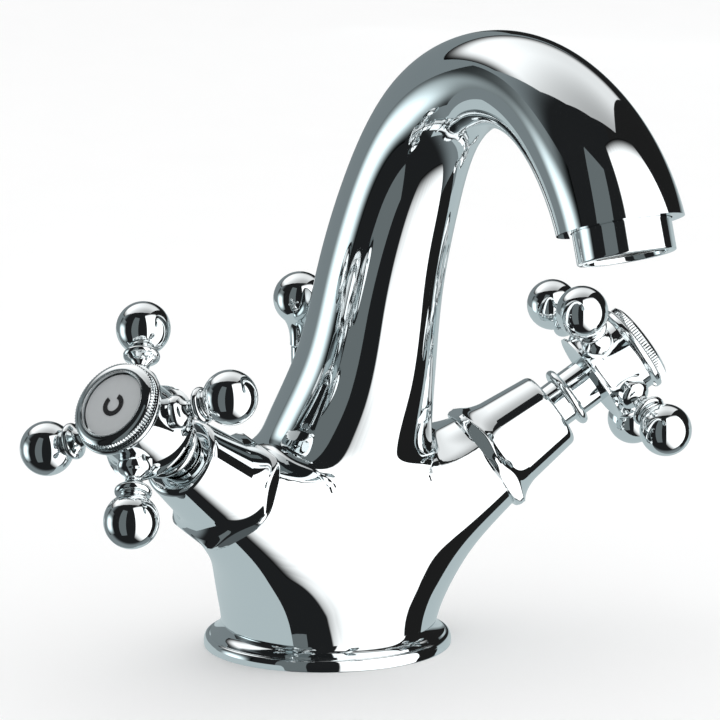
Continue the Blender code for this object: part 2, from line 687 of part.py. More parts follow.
def make_waste_rod():
    moving = bpy.data.objects.new("lift_rod_axis", None)
    moving.location = Vector((0, ROD_Y, 0)) * MM
    bpy.context.scene.collection.objects.link(moving)
    still = Matrix.Identity(4)
    thread = 1.8
    rod = [
        (0, 0.6), (ROD_RADIUS, 0.6), (ROD_RADIUS, KNOB_FOOT - GAP), (thread, KNOB_FOOT - GAP),
        (thread, 82.0), (0, 82.0),
    ]
    add_object("lift_rod", lathe(rod, 12), still, "chrome", moving)
    socket = thread + GAP
    begin = -math.degrees(math.acos(4.4 / KNOB_RADIUS))
    ball = arc((0, KNOB_CENTRE), KNOB_RADIUS, begin, 90, 6)
    ball[-1] = (0, KNOB_CENTRE + KNOB_RADIUS)
    taper = bezier((2.7, KNOB_FOOT), (2.9, 80.6), ball[0], 3)
    knob = [(0, 82.3), (socket, 82.3), (socket, KNOB_FOOT), (2.7, KNOB_FOOT)] + taper + ball[1:]
    add_object("lift_knob", lathe(knob, 14), still, "chrome", moving)

    place = vertical(0, ROD_Y)
    inside = ROD_RADIUS + GAP
    guide = [
        (inside, 0.4), (ROD_GUIDE_RADIUS, 0.4), (ROD_GUIDE_RADIUS, ROD_GUIDE_TOP),
        (inside, ROD_GUIDE_TOP),
    ]
    add_object("rod_guide", lathe(guide, 12), place, "white_plastic")
    ring = arc((3.75, ROD_GUIDE_TOP + 1.6), 0.9, 0, 300, 5)
    add_object("rod_o_ring", lathe(ring, 12), place, "rubber")


def main():
    clear_scene()
    make_body()
    make_aerator()
    for side in SIDES:
        moving = bpy.data.objects.new(f"{side}_handle_axis", None)
        moving.matrix_world = metres(arm_matrix(side))
        bpy.context.scene.collection.objects.link(moving)
        bpy.context.view_layer.update()
        make_valve(side, moving)
        make_handle(side, moving)
    make_waste_rod()


main()
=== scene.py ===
"""Looks of the bathroom basin mixer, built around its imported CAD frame.

Chrome pieces are rebuilt as fine meshes where the CAD solids stand, every piece gets a node material,
and reflection cards stand around the object as soft studio lights and flags.
Lengths below are in millimetres unless a name says otherwise; meshes are made in metres.
"""

import json
import math

import bmesh
import bpy
import numpy as np
from mathutils import Matrix, Vector


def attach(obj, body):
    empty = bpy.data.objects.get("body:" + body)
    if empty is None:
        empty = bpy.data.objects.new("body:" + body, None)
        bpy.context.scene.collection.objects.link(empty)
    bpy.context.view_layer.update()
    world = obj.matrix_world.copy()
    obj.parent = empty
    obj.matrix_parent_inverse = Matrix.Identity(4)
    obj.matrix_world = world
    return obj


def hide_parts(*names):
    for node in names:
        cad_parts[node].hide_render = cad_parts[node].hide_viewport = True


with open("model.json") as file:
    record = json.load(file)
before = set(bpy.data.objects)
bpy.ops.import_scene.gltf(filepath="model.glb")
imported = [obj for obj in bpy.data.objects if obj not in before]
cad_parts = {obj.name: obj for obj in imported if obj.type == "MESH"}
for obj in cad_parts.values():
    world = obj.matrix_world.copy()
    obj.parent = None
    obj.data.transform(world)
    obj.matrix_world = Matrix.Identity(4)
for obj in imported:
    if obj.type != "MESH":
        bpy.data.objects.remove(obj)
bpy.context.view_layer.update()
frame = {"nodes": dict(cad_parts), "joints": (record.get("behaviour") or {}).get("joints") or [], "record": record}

MM = 0.001

# Camera, as seen by someone standing to the left of the basin
VIEW_AZIMUTH = -32.34
VIEW_ELEVATION = 9.93
VIEW_ROLL = -0.37
VIEW_DISTANCE = 1000.0
VIEW_RIGHT = 8.5
VIEW_UP = 73.6
LENS_MM = 191.4

# Spine of the casting: y, z, half width across X, half depth in the YZ plane
STATIONS = [
    (0.0, -6.0, 27.4, 27.4),
    (0.0, 9.0, 27.4, 27.4),
    (-1.2, 24.0, 28.6, 26.6),
    (-4.6, 39.0, 26.4, 22.0),
    (-9.7, 54.1, 23.6, 18.8),
    (-19.2, 75.9, 18.3, 17.4),
    (-26.0, 97.9, 16.1, 16.2),
    (-35.6, 120.4, 14.9, 14.8),
    (-50.6, 141.9, 12.9, 13.2),
    (-72.1, 152.8, 12.0, 11.7),
    (-95.9, 151.8, 12.5, 12.3),
    (-116.6, 139.9, 14.2, 13.8),
    (-128.3, 123.6, 14.8, 15.0),
    (-130.7, 116.0, 14.9, 15.1),
]
# Blend widths where the arms grow out of the column: below, on the shoulders and along the crest
FILLET_BELOW = 20.0
FILLET_SHOULDER = 30.0
FILLET_CREST = 7.0
CREST_EDGE = 0.6  # rise of the surface's direction at which a shoulder turns into the crest
ROOT_LENGTH = 16.0  # the arms start to fade out at this station, and faster beyond their root
ROOT_FADE = 0.02
SKIN_CELL = 1.0
SKIN_FOOT = 4.0  # the casting's own skin starts here, behind the flange's cove
FLANGE_RADIUS = 32.3
NECK_RADIUS = 27.4
SEAM_HEIGHT = 9.0
INLET_SPOT = (8.5, -1.5)
INLET_RADIUS = 4.65
STUD_SPOT = (0.0, -11.5)
STUD_RADIUS = 3.4
ROD_Y = 12.1
ROD_RADIUS = 2.5
ROD_BORE = 3.0
ROD_BORE_TOP = 90.0
GUIDE_RADIUS = 5.0
GUIDE_TOP = 16.3
TIP_CENTRE = (0.0, -128.4, 124.3)
TIP_TILT = 17.2
AERATOR_RADIUS = 11.5
AERATOR_SOCKET = 8.4
AERATOR_DROP = 7.5
AERATOR_GAP = 0.3

# Stations along each valve arm, from its root
HUB_STATION = 90.4
ARM_END = 48.7
ARM_END_RADIUS = 13.7
ARM_TAPER = 0.17
CAVITY_RADIUS = 10.5
CAVITY_FLOOR = 24.0
BONNET_START = 49.0
BONNET_TOP = 72.0
BONNET_FLATS = 28.6
RIM_RADIUS = 16.1
BONNET_TURN = {"left": 50.0, "right": -18.0}
HANDLE_CLOCK = {"left": 33.1, "right": 26.5}
SLEEVE_RADIUS = 6.05
COLLAR_STATION = 76.8
COLLAR_RADIUS = 8.3
SKIRT_START = 84.6
SKIRT_RADIUS = 12.95
HUB_RADIUS = 10.8
HUB_TOP = 99.0
BALL_RADIUS = 6.75
BALL_REACH = 26.7
BUTTON_RADIUS = 11.3
BUTTON_TEETH = 90
TOOTH_DEPTH = 0.32
BUTTON_TOP = 101.8
INDEX_RADIUS = 8.2
INDEX_FACE = 100.8
KNOB_RADIUS = 7.0
KNOB_CENTRE = 89.3
KNOB_FOOT = 76.9
SIDES = ("left", "right")


# --- helpers: outlines ------------------------------------------------------------------------


def bezier(start, control, end, steps):
    """Points after start, up to and with end, of a quadratic curve."""
    points = []
    for i in range(1, steps + 1):
        t = i / steps
        weights = ((1 - t) ** 2, 2 * t * (1 - t), t * t)
        point = [sum(w * p[k] for w, p in zip(weights, (start, control, end))) for k in (0, 1)]
        points.append(tuple(point))
    return points


def arc(centre, radius, start, end, steps):
    """Points of a circular arc, with angles in degrees from the outward radius."""
    angles = np.radians(np.linspace(start, end, steps + 1))
    return [(centre[0] + radius * math.cos(a), centre[1] + radius * math.sin(a)) for a in angles]


def rounded(corners, steps=6):
    """Outline through corners of (radius, height) or (radius, height, fillet), fillets as curves."""
    points = []
    count = len(corners)
    for i, corner in enumerate(corners):
        here = Vector(corner[:2])
        fillet = corner[2] if len(corner) > 2 else 0
        before = Vector(corners[i - 1][:2]) - here
        after = Vector(corners[(i + 1) % count][:2]) - here
        if not fillet or before.length < 1e-6 or after.length < 1e-6:
            points.append(tuple(here))
            continue
        size = min(fillet, 0.48 * before.length, 0.48 * after.length)
        start = here + before.normalized() * size
        end = here + after.normalized() * size
        points.append(tuple(start))
        points += bezier(start, here, end, steps)
    return points


# --- helpers: meshes --------------------------------------------------------------------------


SHARP_EDGE = 32  # edges that turn by more degrees than this stay sharp


def add_piece(name, vertices, faces, matrix, sharp=SHARP_EDGE):
    """A shaded object in metres from millimetre vertices, which the matrix places."""
    mesh = bpy.data.meshes.new(name)
    mesh.from_pydata(vertices, [], faces)
    mesh.transform(Matrix.Scale(MM, 4) @ matrix)
    bm = bmesh.new()
    bm.from_mesh(mesh)
    bmesh.ops.recalc_face_normals(bm, faces=bm.faces)
    bm.to_mesh(mesh)
    bm.free()
    mesh.shade_smooth()
    mesh.set_sharp_from_angle(angle=math.radians(sharp))
    piece = bpy.data.objects.new(name, mesh)
    bpy.context.scene.collection.objects.link(piece)
    return piece


def turned(name, outline, steps, matrix, limit=None, sharp=SHARP_EDGE):
    """Turns an outline about Z; limit(radius, angle, height) may trim each vertex's radius.

    An outline that starts on the axis also ends there; any other is a closed ring."""
    vertices = []
    rings = []
    for radius, height in outline:
        if radius < 1e-6:
            rings.append([len(vertices)])
            vertices.append((0, 0, height))
            continue
        ring = []
        for i in range(steps):
            angle = math.tau * i / steps
            reach = limit(radius, angle, height) if limit else radius
            ring.append(len(vertices))
            vertices.append((reach * math.cos(angle), reach * math.sin(angle), height))
        rings.append(ring)
    pairs = list(zip(rings, rings[1:]))
    if len(rings[0]) > 1:
        pairs.append((rings[-1], rings[0]))
    faces = []
    for low, high in pairs:
        for i in range(steps):
            j = (i + 1) % steps
            if len(low) > 1 and len(high) > 1:
                faces.append((low[i], low[j], high[j], high[i]))
            elif len(high) > 1:
                faces.append((low[0], high[j], high[i]))
            elif len(low) > 1:
                faces.append((low[i], low[j], high[0]))
    return add_piece(name, vertices, faces, matrix, sharp)


def cut(piece, *tools):
    """Takes tools away from piece with one exact Boolean each, and removes them."""
    for tool in tools:
        bpy.context.view_layer.update()
        modifier = piece.modifiers.new("cut", "BOOLEAN")
        modifier.operation = "DIFFERENCE"
        modifier.solver = "EXACT"
        modifier.object = tool
        depsgraph = bpy.context.evaluated_depsgraph_get()
        piece.data = bpy.data.meshes.new_from_object(piece.evaluated_get(depsgraph))
        piece.modifiers.clear()
        bpy.data.objects.remove(tool)


def post(radius, low, high, matrix, steps=48):
    return turned("tool", [(0, low), (radius, low), (radius, high), (0, high)], steps, matrix)


def prism_piece(name, outline, low, high, matrix, bevel=0.0):
    """Extrudes a closed outline of (x, y) points along Z."""
    count = len(outline)
    vertices = [(x, y, low) for x, y in outline] + [(x, y, high) for x, y in outline]
    faces = [tuple(range(count))[::-1], tuple(range(count, 2 * count))]
    for i in range(count):
        j = (i + 1) % count
        faces.append((i, j, count + j, count + i))
    piece = add_piece(name, vertices, faces, matrix)
    if bevel:
        edge = piece.modifiers.new("edge", "BEVEL")
        edge.width = bevel * MM
        edge.segments = 3
        edge.limit_method = "ANGLE"
    return piece


# --- frames of the arms and the outlet ----------------------------------------------------------


def arm_matrix(side):
    """Z along the valve's axis, X towards the user, origin at the arm's root."""
    joint = next(j for j in frame["joints"] if j["name"] == f"{side}_handle_turn")
    along = Vector(joint["axis"]).normalized()
    front = Vector((0, -1, 0))
    front = (front - along * front.dot(along)).normalized()
    matrix = Matrix((front, along.cross(front), along)).transposed().to_4x4()
    matrix.translation = Vector(joint["pos_m"]) / MM - along * HUB_STATION
    return matrix


def handle_matrix(side):
    return arm_matrix(side) @ Matrix.Rotation(math.radians(HANDLE_CLOCK[side]), 4, "Z")


def tip_matrix():
    matrix = Matrix.Rotation(math.radians(180 - TIP_TILT), 4, "X")
    matrix.translation = TIP_CENTRE
    return matrix


def upright(x=0, y=0):
    return Matrix.Translation((x, y, 0))


# --- the blended casting ------------------------------------------------------------------------


class Spline:
    """Cubic spline through knots, whose bending stays constant over its first and last stretch."""

    def __init__(self, knots, values):
        self.knots = np.asarray(knots, float)
        self.values = np.asarray(values, float)
        gaps = np.diff(self.knots)
        slopes = np.diff(self.values, axis=0) / gaps[:, None]
        count = len(self.knots)
        system = np.zeros((count, count))
        right = np.zeros_like(self.values)
        for i in range(1, count - 1):
            system[i, i - 1:i + 2] = gaps[i - 1], 2 * (gaps[i - 1] + gaps[i]), gaps[i]
            right[i] = 6 * (slopes[i] - slopes[i - 1])
        system[0, :2] = 1, -1
        system[-1, -2:] = 1, -1
        self.bends = np.linalg.solve(system, right)

    def __call__(self, t):
        t = np.asarray(t, float)
        i = np.clip(np.searchsorted(self.knots, t, side="right") - 1, 0, len(self.knots) - 2)
        gap = (self.knots[i + 1] - self.knots[i])[..., None]
        after = t[..., None] - self.knots[i][..., None]
        before = self.knots[i + 1][..., None] - t[..., None]
        cubic = (self.bends[i] * before**3 + self.bends[i + 1] * after**3) / (6 * gap)
        first = (self.values[i] / gap - self.bends[i] * gap / 6) * before
        second = (self.values[i + 1] / gap - self.bends[i + 1] * gap / 6) * after
        return cubic + first + second


def station_spline():
    stations = np.array(STATIONS)
    lengths = np.linalg.norm(np.diff(stations[:, :2], axis=0), axis=1)
    return Spline(np.concatenate([[0], np.cumsum(lengths)]), stations)


SPINE = station_spline()
SPINE_END = SPINE.knots[-1]
SAMPLES = np.linspace(0, SPINE_END, 300)
SAMPLE_TABLE = SPINE(SAMPLES)
SAMPLE_AHEAD = np.gradient(SAMPLE_TABLE[:, :2], axis=0)
SAMPLE_AHEAD /= np.linalg.norm(SAMPLE_AHEAD, axis=1)[:, None]
ARM_FRAMES = [np.array(arm_matrix(side)) for side in SIDES]


def nearest_on_spine(points):
    """Spine length of the section that each point lies in."""
    offsets = points[:, None, 1:] - SAMPLE_TABLE[None, :, :2]
    nearest = np.argmin((offsets**2).sum(2), axis=1)
    rows = np.arange(len(points))
    t = SAMPLES[nearest] + (offsets[rows, nearest] * SAMPLE_AHEAD[nearest]).sum(1)
    for _ in range(2):
        low = SPINE(np.clip(t - 0.5, 0, SPINE_END))
        high = SPINE(np.clip(t + 0.5, 0, SPINE_END))
        middle = SPINE(np.clip(t, 0, SPINE_END))
        slope = high[:, :2] - low[:, :2]
        miss = points[:, 1:] - middle[:, :2]
        bend = high[:, :2] + low[:, :2] - 2 * middle[:, :2]
        turn = (slope**2).sum(1) - 4 * (miss * bend).sum(1)
        t = t + np.clip((miss * slope).sum(1) / np.maximum(turn, 0.2), -2, 2)
    return np.clip(t, 0, SPINE_END)


def eased(value, low, high):
    """0 up to low, 1 from high on, with a soft rise between."""
    t = np.clip((value - low) / (high - low), 0, 1)
    return t * t * (3 - 2 * t)


def smooth_min(first, second, width):
    overlap = np.maximum(width - np.abs(first - second), 0) / width
    return np.minimum(first, second) - overlap**3 * width / 6


def casting_field(points):
    """Roughly the distance of points outside the blended casting."""
    y, z, width, depth = SPINE(nearest_on_spine(points)).T
    reach = np.hypot(points[:, 1] - y, points[:, 2] - z)
    ratio = np.hypot(points[:, 0] / width, reach / depth)
    field = np.hypot(points[:, 0], reach) * (1 - 1 / np.maximum(ratio, 1e-6))
    for arm in ARM_FRAMES:
        local = (points - arm[:3, 3]) @ arm[:3, :3]
        radius = ARM_END_RADIUS + ARM_TAPER * (ARM_END - local[:, 2])
        across = np.hypot(local[:, 0], local[:, 1])
        distance = across - radius
        rise = local[:, 1] * np.sign(arm[2, 1]) / np.maximum(across, 1)
        fillet = FILLET_BELOW + (FILLET_SHOULDER - FILLET_BELOW) * eased(rise, 0, CREST_EDGE)
        fillet += (FILLET_CREST - FILLET_SHOULDER) * eased(rise, CREST_EDGE, 1)
        distance += ROOT_FADE * np.maximum(ROOT_LENGTH - local[:, 2], 0) ** 2
        field = smooth_min(field, distance, fillet)
    return field


def field_slope(points, step=0.05):
    slope = np.empty_like(points)
    for axis in range(3):
        shift = np.zeros(3)
        shift[axis] = step
        slope[:, axis] = (casting_field(points + shift) - casting_field(points - shift)) / (2 * step)
    return slope


def settle(points, rounds=5):
    """Moves points onto the casting's surface along the field's slope."""
    for _ in range(rounds):
        slope = field_slope(points)
        value = casting_field(points) / np.maximum((slope**2).sum(1), 0.2)
        points = points - slope * np.clip(value, -1.5, 1.5)[:, None]
    return points


def swept_spine(steps, rings):
    """Vertices and faces of the column and spout as one closed loft of ellipses."""
    vertices = []
    faces = []
    for t in np.linspace(0, SPINE_END, rings):
        y, z, width, depth = SPINE(t)
        ahead = SPINE(t + 0.5)[:2] - SPINE(t - 0.5)[:2]
        ny, nz = ahead[1] / np.linalg.norm(ahead), -ahead[0] / np.linalg.norm(ahead)
        for i in range(steps):
            u, v = math.cos(math.tau * i / steps), math.sin(math.tau * i / steps)
            vertices.append((width * u, y + depth * v * ny, z + depth * v * nz))
    for ring in range(rings - 1):
        for i in range(steps):
            j = (i + 1) % steps
            low, high = ring * steps, (ring + 1) * steps
            faces.append((low + i, low + j, high + j, high + i))
    faces.append(tuple(range(steps)))
    faces.append(tuple(range((rings - 1) * steps, rings * steps)))
    return vertices, faces


def cast_skin():
    """Column, spout and arms as one skin with soft joins, its normals taken from the field."""
    vertices, faces = swept_spine(96, 200)
    skin = add_piece("cast_body", vertices, faces, Matrix.Identity(4))
    beyond = 4.0
    top = ARM_END + beyond
    foot = 8.0
    radius = ARM_END_RADIUS + ARM_TAPER * (ARM_END - foot)
    bm = bmesh.new()
    bm.from_mesh(skin.data)
    for side in SIDES:
        outline = [(0, foot), (radius, foot), (ARM_END_RADIUS - ARM_TAPER * beyond, top), (0, top)]
        arm = turned("arm", outline, 96, arm_matrix(side))
        bm.from_mesh(arm.data)
        bpy.data.objects.remove(arm)
    bm.to_mesh(skin.data)
    bm.free()
    remesh = skin.modifiers.new("skin", "REMESH")
    remesh.mode = "VOXEL"
    remesh.voxel_size = SKIN_CELL * MM
    depsgraph = bpy.context.evaluated_depsgraph_get()
    skin.data = bpy.data.meshes.new_from_object(skin.evaluated_get(depsgraph))
    skin.modifiers.clear()
    mesh = skin.data
    places = np.empty(len(mesh.vertices) * 3)
    mesh.vertices.foreach_get("co", places)
    places = settle(places.reshape(-1, 3) / MM) * MM
    mesh.vertices.foreach_set("co", places.ravel())
    mesh.update()
    tip = tip_matrix()
    foot_trim = post(40, -20, SKIN_FOOT, upright(), 64)
    tip_trim = post(22, 0, 20, tip, 64)
    socket = post(AERATOR_RADIUS + AERATOR_GAP, -AERATOR_SOCKET, 2, tip, 96)
    bore = post(ROD_BORE, -2, ROD_BORE_TOP, upright(0, ROD_Y), 48)
    guide = post(GUIDE_RADIUS, -2, GUIDE_TOP, upright(0, ROD_Y), 48)
    ends = [post(18, ARM_END + 0.25, ARM_END + 12, arm_matrix(side), 64) for side in SIDES]
    cavities = [post(CAVITY_RADIUS, CAVITY_FLOOR, ARM_END + 2, arm_matrix(side), 64) for side in SIDES]
    cut(skin, foot_trim, tip_trim, socket, bore, guide, *ends, *cavities)
    smooth_by_field(skin)
    return skin


def smooth_by_field(piece):
    """Gives faces on the casting's surface the field's own normals, and cut faces flat ones."""
    mesh = piece.data
    mesh.shade_smooth()
    count = len(mesh.vertices)
    places = np.empty(count * 3)
    mesh.vertices.foreach_get("co", places)
    places = places.reshape(-1, 3) / MM
    normals = field_slope(places)
    normals /= np.maximum(np.linalg.norm(normals, axis=1), 1e-9)[:, None]
    tolerance = 0.05
    agreement = 0.8
    on_skin = np.abs(casting_field(places)) < tolerance
    loops = np.empty((len(mesh.loops), 3))
    for polygon in mesh.polygons:
        flat = np.array(polygon.normal)
        corners = list(polygon.vertices)
        blended = all(on_skin[corners]) and float(flat @ normals[corners].mean(0)) > agreement
        for loop, corner in zip(polygon.loop_indices, corners):
            loops[loop] = normals[corner] if blended else flat
    mesh.normals_split_custom_set(loops.tolist())


# --- materials ------------------------------------------------------------------------------------


NOISE_RANGE = (0.3, 0.7)  # the noise's values lie mostly between these
DRIFT_GRAINS = 6  # size of the drifting tone's patches, in grains


def surface(name, colour, metallic, roughness, grain, spread, bump, tone=0.0):
    """Principled material whose roughness, tone and fine relief vary with noise of a given grain.

    grain is the noise's size in millimetres, spread the change in roughness, bump its height in
    millimetres, and tone how far the colour drifts."""
    made = bpy.data.materials.new(name)
    made.use_nodes = True
    nodes = made.node_tree.nodes
    links = made.node_tree.links
    shader = nodes["Principled BSDF"]
    shader.inputs["Base Color"].default_value = (*colour, 1)
    shader.inputs["Metallic"].default_value = metallic
    place = nodes.new("ShaderNodeTexCoord")
    noise = nodes.new("ShaderNodeTexNoise")
    noise.inputs["Scale"].default_value = 1 / (grain * MM)
    noise.inputs["Detail"].default_value = 4
    links.new(place.outputs["Object"], noise.inputs["Vector"])
    spreader = nodes.new("ShaderNodeMapRange")
    spreader.inputs["From Min"].default_value = NOISE_RANGE[0]
    spreader.inputs["From Max"].default_value = NOISE_RANGE[1]
    spreader.inputs["To Min"].default_value = roughness
    spreader.inputs["To Max"].default_value = roughness + spread
    links.new(noise.outputs["Fac"], spreader.inputs["Value"])
    links.new(spreader.outputs["Result"], shader.inputs["Roughness"])
    if bump:
        relief = nodes.new("ShaderNodeBump")
        relief.inputs["Strength"].default_value = 1
        relief.inputs["Distance"].default_value = bump * MM
        links.new(noise.outputs["Fac"], relief.inputs["Height"])
        links.new(relief.outputs["Normal"], shader.inputs["Normal"])
    if tone:
        drift = nodes.new("ShaderNodeTexNoise")
        drift.inputs["Scale"].default_value = 1 / (grain * DRIFT_GRAINS * MM)
        links.new(place.outputs["Object"], drift.inputs["Vector"])
        mix = nodes.new("ShaderNodeMix")
        mix.data_type = "RGBA"
        darker = tuple(c * (1 - tone) for c in colour)
        mix.inputs["A"].default_value = (*darker, 1)
        mix.inputs["B"].default_value = (*colour, 1)
        links.new(drift.outputs["Fac"], mix.inputs["Factor"])
        links.new(mix.outputs["Result"], shader.inputs["Base Color"])
    return made


MATERIALS = {
    "chrome": surface("polished_chrome", (0.80, 0.835, 0.845), 1, 0.015, 9.0, 0.02, 0.0006, 0.02),
    "brass": surface("machined_brass", (0.78, 0.60, 0.30), 1, 0.22, 0.6, 0.15, 0.004, 0.15),
    "ceramic": surface("lapped_ceramic", (0.90, 0.89, 0.86), 0, 0.18, 0.3, 0.1, 0.001, 0.04),
    "rubber": surface("moulded_rubber", (0.025, 0.025, 0.026), 0, 0.55, 0.3, 0.2, 0.004, 0.3),
    "steel": surface("stainless_steel", (0.62, 0.62, 0.61), 1, 0.22, 0.25, 0.15, 0.002, 0.08),
    "white_plastic": surface("moulded_acetal", (0.84, 0.84, 0.82), 0, 0.35, 0.5, 0.15, 0.003, 0.05),
    "grey_enamel": surface("grey_enamel", (0.42, 0.44, 0.45), 0.1, 0.3, 0.25, 0.12, 0.0015, 0.05),
    "black_enamel": surface("black_enamel", (0.012, 0.012, 0.013), 0, 0.25, 0.4, 0.1, 0.001, 0.2),
}
MATERIALS["black_enamel"].node_tree.nodes["Principled BSDF"].inputs["Coat Weight"].default_value = 0.3


def dress(piece, slot_name, body, *replaced):
    piece.data.materials.clear()
    piece.data.materials.append(MATERIALS[slot_name])
    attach(piece, body)
    if replaced:
        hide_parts(*replaced)
    return piece


def dress_cad_nodes():
    """Gives every CAD node that stays the material of its slot."""
    for row in frame["record"]["subparts"]:
        node = frame["nodes"][row["node"]]
        if node.hide_render:
            continue
        node.data.materials.clear()
        node.data.materials.append(MATERIALS[row["material_slot"]])


# --- body, outlet and waste rod -------------------------------------------------------------------


def make_body():
    dress(cast_skin(), "chrome", "mixer_body", "body")
    cove = bezier((31.0, 3.4), (NECK_RADIUS + 0.3, 4.2), (NECK_RADIUS, SEAM_HEIGHT), 16)
    outline = rounded([
        (18.0, 0, 0.3), (18.0, 9.0), (23.5, 9.0), (23.5, 0, 0.3), (25.5, 0, 0.2), (25.5, 2.5),
        (29.0, 2.5), (29.0, 0, 0.2), (FLANGE_RADIUS - 0.1, 0, 0.3), (FLANGE_RADIUS, 1.6, 0.9),
        (31.7, 3.2, 1.0),
    ])
    inside = NECK_RADIUS - 3
    core_top = 12.0
    outline += cove + [(inside, SEAM_HEIGHT), (inside, core_top), (0.0, core_top), (0.0, 0.0)]
    outline = [outline[-1]] + outline[:-1]
    flange = turned("base_flange", outline, 192, upright())
    depth = 11
    tools = [
        post(STUD_RADIUS, -2, depth, upright(*STUD_SPOT)),
        post(GUIDE_RADIUS, -2, depth, upright(0, ROD_Y)),
    ]
    for sign in (-1, 1):
        spot = upright(sign * INLET_SPOT[0], INLET_SPOT[1])
        tools.append(post(INLET_RADIUS, -2, depth, spot))
    cut(flange, *tools)
    flange.data.set_sharp_from_angle(angle=math.radians(SHARP_EDGE))
    dress(flange, "chrome", "mixer_body")


def make_outlet():
    tip = tip_matrix()
    lip = AERATOR_DROP
    outline = rounded([
        (10.6, -6.0), (AERATOR_RADIUS, -6.0), (AERATOR_RADIUS, lip, 0.45), (9.7, lip, 0.3),
        (9.5, lip - 1.4, 0.2), (10.6, lip - 1.6),
    ])
    dress(turned("aerator_skirt", outline, 128, tip), "chrome", "mixer_body", "aerator_housing")
    wires = 15
    pitch = 1.25
    reach = 10.2
    vertices = []
    faces = []
    for layer, height in enumerate((4.6, 4.95)):
        for i in range(-wires // 2 + 1, wires // 2 + 1):
            across = i * pitch
            half = math.sqrt(max(reach**2 - across**2, 0.5))
            add_wire(vertices, faces, across, half, height, layer)
    dress(add_piece("aerator_mesh", vertices, faces, tip), "steel", "mixer_body", "aerator_screen")


def add_wire(vertices, faces, across, half, height, layer, radius=0.16):
    """One straight square wire of the outlet screen, along Y or, in the second layer, along X."""
    first = len(vertices)
    for end in (-half, half):
        for du, dv in ((-1, -1), (1, -1), (1, 1), (-1, 1)):
            side, rise = across + du * radius, height + dv * radius
            vertices.append((side, end, rise) if layer == 0 else (end, side, rise))
    for k in range(4):
        j = (k + 1) % 4
        faces.append((first + k, first + j, first + 4 + j, first + 4 + k))
    faces.append((first, first + 1, first + 2, first + 3))
    faces.append((first + 4, first + 5, first + 6, first + 7))


def make_waste_rod():
    place = upright(0, ROD_Y)
    rod = rounded([
        (0, 0.6), (ROD_RADIUS, 0.6, 0.3), (ROD_RADIUS, KNOB_FOOT - 0.3, 0.2), (1.8, KNOB_FOOT - 0.3),
        (1.8, 82.0), (0, 82.0),
    ])
    dress(turned("waste_rod_stem", rod, 48, place), "chrome", "waste_rod", "lift_rod")
    begin = -math.degrees(math.acos(4.2 / KNOB_RADIUS))
    ball = arc((0, KNOB_CENTRE), KNOB_RADIUS, begin, 90, 40)
    ball[-1] = (0, KNOB_CENTRE + KNOB_RADIUS)
    neck = bezier((2.75, KNOB_FOOT + 0.2), (2.6, 81.6), ball[0], 18)
    knob = [(0, 82.3), (2.1, 82.3), (2.1, KNOB_FOOT), (2.6, KNOB_FOOT), (2.75, KNOB_FOOT + 0.2)]
    top = turned("waste_rod_knob", knob + neck + ball[1:], 80, place)
    dress(top, "chrome", "waste_rod", "lift_knob")


# --- bonnets and handles ----------------------------------------------------------------------------


def hexagon_limit(turn):
    """Trims a radius to a hexagon's flats, with a soft edge where the two meet."""
    def limit(radius, angle, height):
        sector = (angle - math.radians(turn)) % (math.tau / 6) - math.tau / 12
        flat = BONNET_FLATS / 2 / math.cos(sector)
        soft = 0.4
        overlap = max(soft - abs(radius - flat), 0) / soft
        return min(radius, flat) - overlap**2 * soft / 4
    return limit


def make_bonnet(side):
    base = (RIM_RADIUS - 0.2, BONNET_START + 2.3)
    flare = bezier(base, (13.3, 52.6), (12.15, 57.2), 30)
    crown = rounded([
        (12.15, 57.2), (10.3, BONNET_TOP, 1.7), (SLEEVE_RADIUS + 0.3, BONNET_TOP, 0.3),
        (SLEEVE_RADIUS + 0.3, 70.2), (8.8, 70.2), (8.8, 55.5), (10.8, 54.0), (10.8, BONNET_START, 0.2),
        (RIM_RADIUS - 1.1, BONNET_START, 0.3), (RIM_RADIUS, BONNET_START + 1.2, 0.8),
    ], 8)
    outline = [base] + flare + crown[1:]
    limit = hexagon_limit(BONNET_TURN[side])
    bonnet = turned(f"{side}_bonnet_shell", outline, 240, arm_matrix(side), limit, 40)
    dress(bonnet, "chrome", "mixer_body", f"{side}_bonnet")


def make_hub(side, place, body):
    bore = 4.6
    sleeve = rounded([(bore, 66.0), (SLEEVE_RADIUS, 66.0, 0.2), (SLEEVE_RADIUS, 75.7, 0.15)])
    sleeve += arc((COLLAR_RADIUS - 1.1, COLLAR_STATION), 1.1, -85, 85, 16)
    sleeve += rounded([(6.35, COLLAR_STATION + 1.25, 0.15), (6.3, 86.6), (bore, 86.6)])
    dress(turned(f"{side}_sleeve", sleeve, 96, place), "chrome", body, f"{side}_stem_sleeve")

    skirt = rounded([(8.0, 86.6), (12.3, SKIRT_START, 0.1), (SKIRT_RADIUS, SKIRT_START + 0.1, 0.3)])
    edge = (SKIRT_RADIUS - 0.05, SKIRT_START + 0.6)
    flare = bezier(edge, (HUB_RADIUS + 0.1, 86.2), (HUB_RADIUS, 89.2), 18)
    front = rounded([
        (HUB_RADIUS, 89.2), (HUB_RADIUS, 96.9, 0.3), (11.95, 97.5, 0.5), (12.0, 98.9, 0.6),
        (11.3, HUB_TOP, 0.1), (8.9, HUB_TOP), (8.9, 94.0), (3.5, 94.0), (3.5, 86.6),
    ])
    outline = skirt + flare + front[1:]
    dress(turned(f"{side}_hub_shell", outline, 128, place), "chrome", body, f"{side}_hub")


